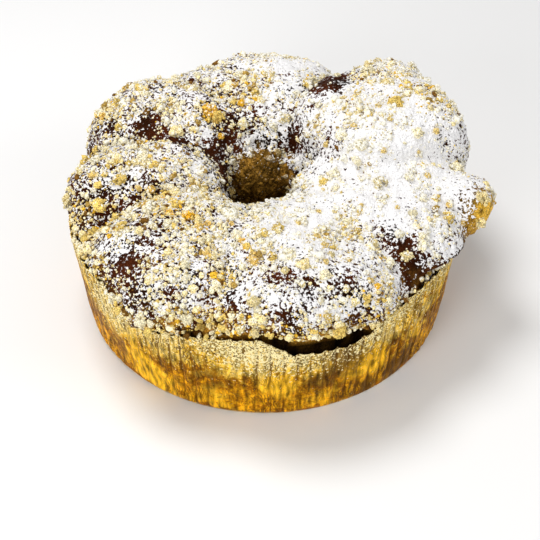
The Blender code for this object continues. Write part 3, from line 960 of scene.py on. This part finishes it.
# Streaks up the wall, partly the paper's own tone and partly painted light on fine ridges and painted shade
# in the folds between: width, how far squashed in height, contrast, middle, darkest and lightest
STREAK_WIDTH = 2.2 * MM
STREAK_SQUASH = 0.22
STREAK_CONTRAST = 3.4
STREAK_MIDDLE = 0.98
STREAK_DARKEST = 0.25
STREAK_LIGHTEST = 1.6


def wrinkle_lines(tree, place):
    """Thin dark creases up the wall, which wander and fade in and out: grease and painted shade in the folds,
    0 to 1.
    """
    split = node(tree, "ShaderNodeSeparateXYZ")
    tree.links.new(place, split.inputs[0])
    angle = math_node(tree, "ARCTAN2", split.outputs["Y"], split.outputs["X"])
    turn = math_node(tree, "MULTIPLY", angle, WRINKLES / (2 * math.pi))
    for size, strength in WRINKLE_SWINGS:
        turn = plus_node(tree, turn, noise_node(tree, place, size, 1.0), strength)
    away = math_node(tree, "SUBTRACT", math_node(tree, "FRACT", turn), 0.5)
    between = step_node(tree, math_node(tree, "ABSOLUTE", away), 0.06, 0.26)
    shown = step_node(tree, noise_node(tree, place, 9 * MM), 0.42, 0.60)
    return math_node(tree, "MULTIPLY", math_node(tree, "SUBTRACT", 1, between), shown)


def upright_streaks(tree, place):
    """Lighter and darker streaks up the wall, partly the paper's own tone and partly painted light and shade
    of fine wrinkles: a factor near 1.
    """
    squashed = node(tree, "ShaderNodeMapping")
    squashed.inputs["Scale"].default_value = (1, 1, STREAK_SQUASH)
    tree.links.new(place, squashed.inputs["Vector"])
    streak = noise_node(tree, squashed.outputs["Vector"], STREAK_WIDTH)
    factor = plus_node(tree, STREAK_MIDDLE, streak, STREAK_CONTRAST, 0.5)
    factor = math_node(tree, "MAXIMUM", factor, STREAK_DARKEST)
    return math_node(tree, "MINIMUM", factor, STREAK_LIGHTEST)


def tone_colour(tree, tone):
    """The paper's colour by its tone."""
    ramp = node(tree, "ShaderNodeValToRGB")
    for position, _ in PAPER_TONES[1:-1]:
        ramp.color_ramp.elements.new(position)
    for element, (position, colour) in zip(ramp.color_ramp.elements, PAPER_TONES):
        element.position = position
        element.color = (*colour, 1)
    tree.links.new(tone, ramp.inputs["Fac"])
    return ramp.outputs["Color"]


def paper_material():
    """Baking paper soaked with butter: dusty cream at the top, amber below that and gold at the foot, partly
    a painted reflection of a gold board; painted shade in its creases, painted light and shade in its
    streaks, and a painted white highlight.
    """
    made, tree, shader = new_material("greased_paper", 0.42, 0.05, (1, 0.72, 0.30, 1))
    place = node(tree, "ShaderNodeTexCoord").outputs["Object"]
    level, fold, pale, gold_and_highlight, shade, white_highlight = (
        point_value(tree, name) for name in ("level", "fold", "pale", "gold_and_highlight", "shade", "white_highlight"))
    patch = noise_node(tree, place, 17 * MM)
    cloud = noise_node(tree, place, 5 * MM, 3.0)
    fine = noise_node(tree, place, 1.3 * MM, 1.0)
    grit = noise_node(tree, place, 1.0 * MM, 1.0)

    tone = plus_node(tree, level, pale, PALE_LIFT)
    for source, strength in ((patch, 0.9), (cloud, 1.2), (fine, 0.35)):
        tone = plus_node(tree, tone, source, strength, 0.5)
    colour = tone_colour(tree, tone)
    # Gold marks, partly the paper's own gold and partly a painted highlight, and marks of painted shade
    for mark, strength, mark_colour in ((gold_and_highlight, 0.9, PAPER_GOLD_AND_HIGHLIGHT), (shade, 0.8, PAPER_SHADE)):
        mottled = plus_node(tree, mark, cloud, 2.0, 0.5)
        share = math_node(tree, "MULTIPLY", step_node(tree, mottled, 0.25, 0.85), strength)
        colour = mix_node(tree, share, colour, mark_colour)
    # Streaks: the paper's own tone, with painted light and shade of fine wrinkles
    colour = scale_node(tree, colour, upright_streaks(tree, place))

    # The pleats' valleys and the wandering creases drawn dark: grease and painted shade in the folds
    valley = math_node(tree, "SUBTRACT", 1, step_node(tree, fold, -0.75, 0.05))
    line = math_node(tree, "MAXIMUM", wrinkle_lines(tree, place), valley)
    line = math_node(tree, "MULTIPLY", line, plus_node(tree, 0.85, gold_and_highlight, -0.55), True)
    colour = mix_node(tree, line, colour, PAPER_GREASE_AND_SHADE)

    upper = math_node(tree, "POWER", level, 2)
    dusty = plus_node(tree, plus_node(tree, fine, upper, 0.25), pale, 0.12)
    colour = mix_node(tree, step_node(tree, dusty, 0.79, 0.83), colour, PAPER_DUST)
    specks = plus_node(tree, grit, upper, 0.13)
    colour = mix_node(tree, step_node(tree, specks, 0.70, 0.74), colour, PAPER_SPECK)
    # A painted white highlight on the rim
    colour = mix_node(tree, step_node(tree, white_highlight, 0.35, 0.8), colour, PAPER_WHITE_HIGHLIGHT)
    foot = math_node(tree, "SUBTRACT", 1, step_node(tree, level, 0.010, 0.024))
    colour = mix_node(tree, math_node(tree, "MULTIPLY", foot, cloud), colour, PAPER_FOOT)
    height = plus_node(tree, math_node(tree, "MULTIPLY", dusty, 1.5), line, -0.6)
    finish_material(tree, shader, colour, math_node(tree, "ADD", height, cloud), 0.5, 0.4 * MM)
    return made


# The paper's thickness, and the fineness of its mesh
PAPER = 0.35 * MM
CASE_COLUMNS = PLEATS * 7
CASE_ROWS = 28
FLOOR_RINGS = 6
# How ragged the paper's edge is, how far its crumples stand, and how its foot is rounded
EDGE_RAGGED = 1.1 * MM
CRUMPLE = 0.4 * MM
FINE_CRUMPLE = 0.18 * MM
FOOT_ROUND = 1.2 * MM
FOOT_INSET = 0.8 * MM
# Where the pleats are sharpest and within how far of it, in degrees, and how pressed in they are at least
SHARPEST = -55
SHARP_WITHIN = 32
PRESSED_LEAST = 0.08


def case_wall():
    """Points of the pleated wall, columns by rows, how far up each lies, and how far out in a fold."""
    azimuth = azimuths(CASE_COLUMNS)
    rim, _ = edge_heights(azimuth)
    around = on_circle(BASE_RADIUS, azimuth, 0 * azimuth)
    level = np.linspace(0, 1, CASE_ROWS)
    ragged = noise_at(around, 5 * MM, 8.1) * EDGE_RAGGED
    azimuth = azimuth[:, None]
    height = rim[:, None] * level + ragged[:, None] * level ** 3
    wall = on_circle(BASE_RADIUS, azimuth + 0 * height, height)
    slip = 1.6 * noise_at(around, 28 * MM, 2.2)[:, None] + 0.9 * noise_at(wall, 22 * MM, 9.6)
    fold = 1 - 2 * ((1 - np.cos(PLEATS * azimuth + slip)) / 2) ** 4
    sharp = 0.35 + 0.45 * np.exp(-((np.degrees(azimuth) - SHARPEST) / SHARP_WITHIN) ** 2)
    pressed = sharp + 0.9 * noise_at(wall, 25 * MM, 4.4) + 0.5 * (level - 0.5)
    pressed = np.clip(pressed, PRESSED_LEAST, 1)
    ridges = np.abs(noise_at(wall * np.array([1, 1, 0.7]), 17 * MM, 6.3)) ** 0.8
    crumple = (1 - 2 * ridges) * CRUMPLE + noise_at(wall, 5 * MM, 5.2) * FINE_CRUMPLE
    foot = 1 - np.exp(-height / FOOT_ROUND)
    relief = fold * PLEAT_DEPTH / 2 * pressed + crumple
    radius = case_radius(height) + relief * foot - FOOT_INSET * (1 - foot)
    return on_circle(radius, azimuth, height), level + 0 * height, fold * pressed


def case_mesh(wall, marks):
    """The wall and its floor as one mesh, which keeps the marks of each point."""
    shares = np.linspace(0, 1, FLOOR_RINGS + 1)[1:-1]
    floor = wall[:, :1, :] * shares[None, :, None]
    points = np.concatenate([floor, wall], 1)
    rows = points.shape[1]
    index = np.arange(CASE_COLUMNS * rows).reshape(CASE_COLUMNS, rows)
    east = np.roll(index, -1, 0)
    quads = np.stack([index[:, :-1], east[:, :-1], east[:, 1:], index[:, 1:]], -1).reshape(-1, 4)
    mesh = face_mesh("baking_paper", points.reshape(-1, 3), quads)
    for name, values in marks.items():
        keep(mesh, name, np.concatenate([np.zeros(floor.shape[:2]), values], 1))
    built = bmesh.new()
    built.from_mesh(mesh)
    built.verts.ensure_lookup_table()
    built.faces.new([built.verts[number] for number in index[::-1, 0]])
    bmesh.ops.triangulate(built, faces=[face for face in built.faces if len(face.verts) > 4])
    built.to_mesh(mesh)
    built.free()
    mesh.shade_smooth()
    return mesh


def make_case():
    """The pleated paper case, wall and floor, which replaces the plain solid."""
    wall, level, fold = case_wall()
    marks = {"level": level, "fold": fold}
    for name, spots in (("pale", PALE), ("gold_and_highlight", GOLD_AND_HIGHLIGHT), ("shade", SHADE), ("white_highlight", WHITE_HIGHLIGHT)):
        marks[name] = spots_at(wall, spots)
    case = new_object("baking_paper", case_mesh(wall, marks))
    thick = case.modifiers.new("Sheet", "SOLIDIFY")
    thick.thickness = PAPER
    thick.offset = -1
    case.data.materials.append(paper_material())
    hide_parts("paper_case")
    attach(case, "root")


# Lights: place, what each points at, size, power and colour
LIGHTS = (
    ("key_light", (-0.30, 0.20, 1.0), (0, 0, 0.05), 0.45, 7.0, (1, 0.99, 0.98)),
    ("front_light", (-0.55, -1.0, 0.5), (0, 0, 0.04), 0.6, 7.5, (1, 1, 1)),
    ("right_light", (1.0, -0.3, 0.6), (0, 0, 0.04), 0.7, 3.8, (1, 1, 1)))
SKY = 0.36
STUDIO_RADIUS = 3
STUDIO_DROP = 0.5 * MM
STUDIO_GREY = (0.85, 0.85, 0.85, 1)
# The camera at the photograph's angle
CAMERA_PLACE = (0.0028, -0.5768, 0.5425)
CAMERA_TILT = math.radians(47.3)
SENSOR = 36
LENS = 87.8


def area_light(name, place, target, size, power, colour):
    data = bpy.data.lights.new(name, "AREA")
    data.shape = "DISK"
    data.size = size
    data.energy = power
    data.color = colour
    made = new_object(name, data)
    made.location = place
    made.rotation_euler = (Vector(target) - Vector(place)).to_track_quat("-Z", "Y").to_euler()


def make_stage():
    """Pale floor, soft studio light and the camera at the photograph's angle."""
    bpy.ops.mesh.primitive_circle_add(
        vertices=96, radius=STUDIO_RADIUS, fill_type="TRIFAN", location=(0, 0, -STUDIO_DROP))
    floor = bpy.context.object
    floor.name = "studio_floor"
    made, _, shader = new_material("studio_floor", 0.7, 0.2)
    shader.inputs["Base Color"].default_value = STUDIO_GREY
    floor.data.materials.append(made)

    for light in LIGHTS:
        area_light(*light)
    world = bpy.data.worlds.new("studio")
    world.use_nodes = True
    background = world.node_tree.nodes["Background"]
    background.inputs["Color"].default_value = (1, 1, 1, 1)
    background.inputs["Strength"].default_value = SKY
    scene = bpy.context.scene
    scene.world = world
    scene.view_settings.view_transform = "Standard"

    data = bpy.data.cameras.new("camera")
    data.sensor_width = SENSOR
    data.lens = LENS
    data.clip_start = 0.01
    camera = new_object("camera", data)
    camera.location = CAMERA_PLACE
    camera.rotation_euler = (CAMERA_TILT, 0, 0)
    scene.camera = camera


make_stage()
make_case()
make_streusel(*make_loaf())
